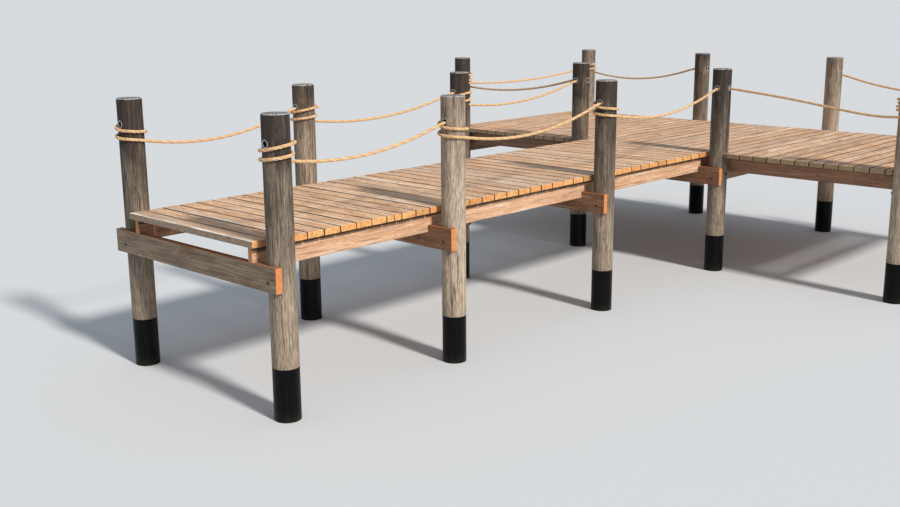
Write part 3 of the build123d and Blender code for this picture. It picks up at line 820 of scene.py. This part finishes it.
def make_cross_boards(screws, rng):
    """Boards along X on the cross deck, one piece a bay, cut round the front piles."""
    material = sawn_softwood("worn_softwood_boards_of_cross_deck", "x", ("ad7c58", "f9c99c", "fbecdc"),
                             ("a58d6b", "93775a", "7d6849"), 0.8, 0.8)
    ends = {"right": 0.0, "middle": WALK_WIDTH, "left": CROSS_LEFT}
    bays = {name: Timbers() for name in ends}
    for low, high in board_lines(CROSS_RIGHT, CROSS_LEFT, CROSS_BOARDS, rng):
        name = next(key for key, limit in ends.items() if (low + high) / 2 < limit)
        back = CROSS_END - rng.uniform(0.0, BOARD_END_PLAY)
        outline = cross_board_end(low, high) + [(back, high), (back, low)]
        tone = board_tone(rng)
        add_board(bays[name], outline, 1, tone, rng)
        for x in CROSS_STRINGERS.values():
            for share in SCREW_PLACES:
                add_screw(screws, x + STRINGER_WIDTH / 2, low + (high - low) * share, rng)
    for name, boards in bays.items():
        boards.piece(f"cross_boards_{name}", material, "deck_timber", BOARD_ARRIS, f"cross_deck_{name}")


def stringer_outline(first, last, notches):
    """Side view of a stringer, with a notch over each cap: points of length and height."""
    outline = [(first, DECK_BOTTOM)]
    if notches[0][0] > first:
        outline.append((first, STRINGER_BOTTOM))
    for low, high in notches:
        low = max(low, first)
        if low > first:
            outline.append((low, STRINGER_BOTTOM))
        outline.append((low, CAP_TOP))
        if high < last:
            outline += [(high, CAP_TOP), (high, STRINGER_BOTTOM)]
        else:
            outline.append((last, CAP_TOP))
    if notches[-1][1] < last:
        outline.append((last, STRINGER_BOTTOM))
    return outline + [(last, DECK_BOTTOM)]


def cap_outline(start, end):
    """Front view of a cap: points of length and height."""
    return [(start, CAP_BOTTOM), (end, CAP_BOTTOM), (end, CAP_TOP), (start, CAP_TOP)]


def make_caps(rng):
    """The caps of the walkway and of the cross deck, one piece each."""
    grey = sawn_softwood("weathered_softwood_caps_of_walkway", "y", ("66452f", "96694a", "c3a184"),
                         ("d08850", "cc7f45", "b2683a"), 0.3, 0.1, dry_top=0.6)
    tan = sawn_softwood("weathered_softwood_caps_of_cross_deck", "x", ("85644a", "b08a69", "cfb79e"),
                        ("d08a4e", "c07840", "a56a38"), 0.3, 0.25)

    # The cap at the free end has gone grey, the others are still brown.
    caps = Timbers()
    outline = cap_outline(-CAP_END, WALK_WIDTH + CAP_FAR_END)
    for x in WALK_X:
        caps.add([(x - CAP_FRONT, y, z) for y, z in outline], [(x - CAP_BACK, y, z) for y, z in outline],
                 2, rng.random() * 0.2 if x else GREY_BEAM)
    caps.piece("walkway_cap_beams", grey, "beam_timber", CAP_ARRIS, "walkway_caps")

    # The two inner caps of the cross deck end at the walkway's last cap.
    caps = Timbers()
    for index, (low, high) in enumerate(CROSS_CAPS):
        start = WALK_X[3] - (CAP_BACK if index in (1, 2) else CAP_END)
        outline = cap_outline(start, CROSS_FAR_X + CAP_END)
        caps.add([(x, low, z) for x, z in outline], [(x, high, z) for x, z in outline],
                 2, rng.random() * 0.4)
    caps.piece("cross_cap_beams", tan, "beam_timber", CAP_ARRIS, "cross_caps")


def make_stringers():
    """The stringers, one piece each, notched over the caps."""
    peach = sawn_softwood("sawn_softwood_near_stringer_of_walkway", "x", ("b08260", "d8ae8a", "efdbc6"),
                          ("c98f5a", "c07f4a", "9a6238"), 0.3, 0.2, 0.85)
    # The far stringer gets a darker, redder copy of the near one's wood: painted shade for its inner face
    # under the deck.
    stringer_wood_in_painted_shade = sawn_softwood("painted_shade_softwood_far_stringer_of_walkway", "x", ("80553b", "a5745a", "b99b80"),
                           ("c98f5a", "c07f4a", "9a6238"), 0.2, 0.2, 0.85)
    brown = sawn_softwood("sawn_softwood_stringers_of_cross_deck", "y", ("7d5a45", "a67c5f", "c3a486"),
                          ("b98250", "a96f40", "8d5c34"), 0.2, 0.2, 0.6)

    notches = [(x - CAP_FRONT - SEAT_GAP, x - CAP_BACK + SEAT_GAP) for x in WALK_X]
    outline = stringer_outline(-CAP_FRONT, WALK_X[3] - CAP_BACK, notches)
    for (row, y), timber in zip(WALK_STRINGERS.items(), (peach, stringer_wood_in_painted_shade)):
        beam = Timbers()
        beam.add([(x, y, z) for x, z in outline], [(x, y + STRINGER_WIDTH, z) for x, z in outline], 2, 0.1)
        beam.piece(f"walkway_beam_{row}", timber, "beam_timber", STRINGER_ARRIS, f"walkway_stringer_{row}")

    notches = [(low - SEAT_GAP, high + SEAT_GAP) for low, high in CROSS_CAPS]
    outline = stringer_outline(CROSS_CAPS[0][0], CROSS_CAPS[-1][1], notches)
    for row, x in CROSS_STRINGERS.items():
        beam = Timbers()
        beam.add([(x, y, z) for y, z in outline], [(x + STRINGER_WIDTH, y, z) for y, z in outline], 2, 0.2)
        beam.piece(f"cross_beam_{row}", brown, "beam_timber", STRINGER_ARRIS, f"cross_stringer_{row}")


def add_bolt(bolts, through, out):
    """A coach bolt through a cap and its pile: a low round head on the cap, and a washer and
    nut on the pile's other side. through is the bolt's point on the pile's own middle line,
    out points from there to the cap."""
    side = out.orthogonal().normalized()
    up = out.cross(side)
    head = [bolts.ring(through + out * (CAP_FRONT + height), side, up, radius, BOLT_SIDES)
            for radius, height in BOLT_HEAD_RINGS]
    for one, two in zip(head, head[1:]):
        bolts.join(one, two)
    bolts.faces.append(tuple(head[-1]))
    washer = [bolts.ring(through - out * depth, side, up, radius, BOLT_SIDES)
              for radius, depth in WASHER_RINGS]
    nut = [bolts.ring(through - out * depth, side, up, radius, NUT_SIDES) for radius, depth in NUT_RINGS]
    for rings in (washer, nut):
        for one, two in zip(rings, rings[1:]):
            bolts.join(two, one)
        bolts.faces.append(tuple(rings[-1][::-1]))


def make_bolts(material):
    """One bolt through each cap into each pile. The two piles where the decks meet carry a cap
    of each, so their two bolts cross at different heights."""
    bolts = Pieces()
    for name, (x, y) in PILES.items():
        if not name.endswith(("front", "back")):
            add_bolt(bolts, Vector((x, y, WALK_BOLT_HEIGHT)) - MIDDLE, Vector((-1, 0, 0)))
        if x >= WALK_X[3]:
            out = Vector((0, -1 if y == RIGHT_Y else 1, 0))
            add_bolt(bolts, Vector((x, y, CROSS_BOLT_HEIGHT)) - MIDDLE, out)
    bolts.piece("cap_bolts", material, False)


def dress(node, material):
    """Gives a CAD node its finish."""
    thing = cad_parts[node]
    thing.data.materials.clear()
    thing.data.materials.append(material)


def dress_cad():
    """Finishes for the CAD nodes that stay in view."""
    for index, (name, (x, y)) in enumerate(PILES.items()):
        centre = (x - MIDDLE.x, y - MIDDLE.y)
        timber = round_timber(f"weathered_round_timber_{name}", centre, BLEACH[name], index * SEED_STEP)
        dress(f"pile_{name}", timber)
    sleeve = sleeve_plastic()
    zinc = eye_zinc()
    for group in ("walkway", "cross"):
        dress(f"{group}_sleeves", sleeve)
        dress(f"{group}_eyes", zinc)


def make_floor():
    """A plain pale floor just below the water level, wide enough to reach past the view."""
    mesh = bpy.data.meshes.new("floor")
    corners = [(-FLOOR_REACH, -FLOOR_REACH), (FLOOR_REACH, -FLOOR_REACH),
               (FLOOR_REACH, FLOOR_REACH), (-FLOOR_REACH, FLOOR_REACH)]
    mesh.from_pydata([(x, y, -FLOOR_DROP) for x, y in corners], [], [(0, 1, 2, 3)])
    floor = bpy.data.objects.new("floor", mesh)
    scene.collection.objects.link(floor)
    material, _, shader = new_finish("plain_matt_floor", 0.9)
    shader.inputs["Base Color"].default_value = linear("cfd1d3")
    shader.inputs["Specular IOR Level"].default_value = 0.2
    mesh.materials.append(material)


def make_light():
    """One soft lamp, from behind the camera's right side, and an even sky."""
    lamp = bpy.data.lights.new("key", "SUN")
    lamp.energy = LAMP_STRENGTH
    lamp.angle = radians(LIGHT_SPREAD)
    lamp.color = (1.0, 0.96, 0.90)
    key = bpy.data.objects.new("key", lamp)
    key.rotation_euler = LIGHT_TRAVEL.to_track_quat("-Z", "Y").to_euler()
    scene.collection.objects.link(key)

    sky = bpy.data.worlds.new("sky")
    scene.world = sky
    sky.use_nodes = True
    tree = sky.node_tree
    background = tree.nodes["Background"]
    background.inputs["Color"].default_value = linear("dfe9f5")
    background.inputs["Strength"].default_value = SKY_STRENGTH

    # The eye sees a backdrop of the floor's own colour; it gives the jetty no light.
    backdrop = add(tree, "ShaderNodeBackground", {"Color": "d7dadd", "Strength": 1.0})
    seen = add(tree, "ShaderNodeLightPath", {}).outputs["Is Camera Ray"]
    mixed = add(tree, "ShaderNodeMixShader", {0: seen, 1: background.outputs[0], 2: backdrop.outputs[0]})
    tree.links.new(mixed.outputs[0], tree.nodes["World Output"].inputs["Surface"])


def make_camera():
    """The camera, where the photo was taken from."""
    camera = bpy.data.cameras.new("camera")
    camera.sensor_width = SENSOR_WIDTH
    camera.lens = FOCAL_PIXELS * SENSOR_WIDTH / PHOTO_WIDTH
    camera.clip_end = 1000
    holder = bpy.data.objects.new("camera", camera)
    heading = Matrix.Rotation(radians(CAMERA_HEADING - 90), 4, "Z")
    tilt = Matrix.Rotation(radians(90 - CAMERA_DOWNWARD), 4, "X")
    roll = Matrix.Rotation(radians(CAMERA_ROLL), 4, "Z")
    holder.matrix_world = Matrix.Translation(CAMERA_PLACE - MIDDLE) @ (heading @ tilt) @ roll
    scene.collection.objects.link(holder)
    scene.camera = holder


make_camera()
rope_material = rope_fibre()
for rope_name, facts in ROPES.items():
    add_rope(rope_name, rope_route(*facts), rope_material)
steel = bolt_steel()
deck_screws = Pieces()
make_walkway_boards(deck_screws, Random(5))
make_cross_boards(deck_screws, Random(8))
deck_screws.piece("deck_screws", steel, True)
make_caps(Random(11))
make_stringers()
make_bolts(steel)
dress_cad()
make_floor()
make_light()
scene.view_settings.view_transform = "Standard"
